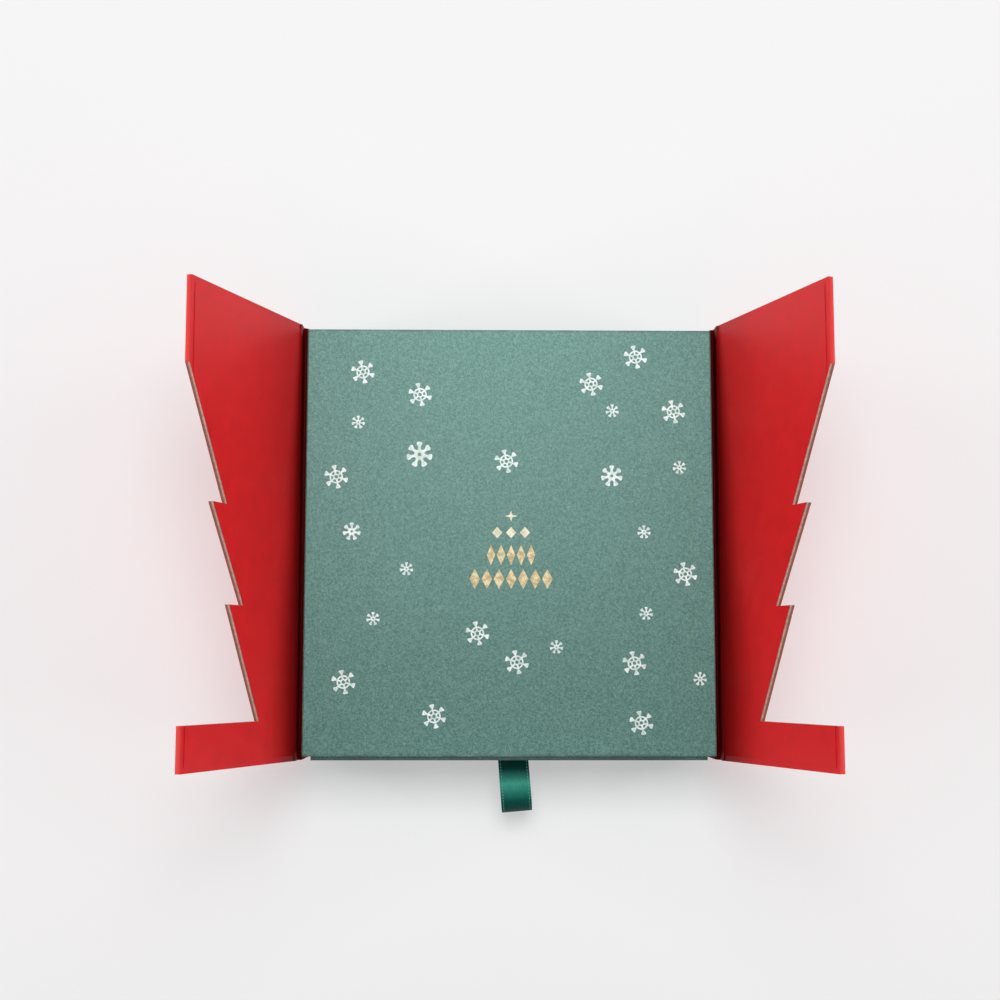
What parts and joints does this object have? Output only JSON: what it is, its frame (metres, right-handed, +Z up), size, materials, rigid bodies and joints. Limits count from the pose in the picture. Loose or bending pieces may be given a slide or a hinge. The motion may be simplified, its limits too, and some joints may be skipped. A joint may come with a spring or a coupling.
{
  "type": "gift box",
  "caption": "Square paper-covered gift box in a case with two doors die-cut as half a fir tree each, over a sleeve with a ribbon-pull drawer.",
  "frame": {"origin": "middle of the case's underside, on the surface that the box stands on", "axes": "+Z up, +X towards the right door, -Y the way the drawer opens"},
  "size_m": [0.2798, 0.2406, 0.1481],
  "materials": {
    "red_paper": "satin red cover paper",
    "green_paper": "green pearl paper, fine mottled grain",
    "inner_paper": "matt off-white lining paper",
    "grey_board": "raw greyboard, cut edge",
    "satin": "dark green satin ribbon",
    "magnet": "nickel-plated disc",
    "silver_foil": "silver hot foil, thin and slightly worn",
    "gold_foil": "gold hot foil, thin and slightly worn"
  },
  "bodies": {
    "case": {"base_board": "grey_board", "base_wrap": "red_paper", "base_lining": "red_paper", "left_side_board": "grey_board", "left_side_wrap": "red_paper", "left_side_lining": "red_paper", "right_side_board": "grey_board", "right_side_wrap": "red_paper", "right_side_lining": "red_paper", "sleeve_top_board": "grey_board", "sleeve_bottom_board": "grey_board", "sleeve_back_board": "grey_board", "sleeve_left_board": "grey_board", "sleeve_right_board": "grey_board", "sleeve_wrap": "green_paper", "sleeve_magnet_left_far": "magnet", "sleeve_magnet_left_near": "magnet", "sleeve_magnet_right_far": "magnet", "sleeve_magnet_right_near": "magnet"},
    "left_door": {"left_door_board": "grey_board", "left_door_magnet_far": "magnet", "left_door_magnet_near": "magnet", "left_door_wrap": "red_paper", "left_door_lining": "red_paper"},
    "right_door": {"right_door_board": "grey_board", "right_door_magnet_far": "magnet", "right_door_magnet_near": "magnet", "right_door_wrap": "red_paper", "right_door_lining": "red_paper"},
    "drawer": {"drawer_bottom_board": "grey_board", "drawer_back_board": "grey_board", "drawer_left_board": "grey_board", "drawer_right_board": "grey_board", "drawer_front_board": "grey_board", "drawer_wrap": "green_paper", "drawer_lining": "inner_paper", "ribbon_pull": "satin"}
  },
  "joints": [
    {"name": "left_door_hinge", "type": "hinge", "parent": "case", "child": "left_door", "pos_m": [-0.10274, 0, 0.0512], "axis": [0, -1, 0], "range_deg": [-111, 69]},
    {"name": "right_door_hinge", "type": "hinge", "parent": "case", "child": "right_door", "pos_m": [0.10274, 0, 0.0512], "axis": [0, 1, 0], "range_deg": [-109, 71]},
    {"name": "drawer_slide", "type": "slide", "parent": "case", "child": "drawer", "axis": [0, -1, 0], "range_m": [-0.002, 0.21]}
  ]
}
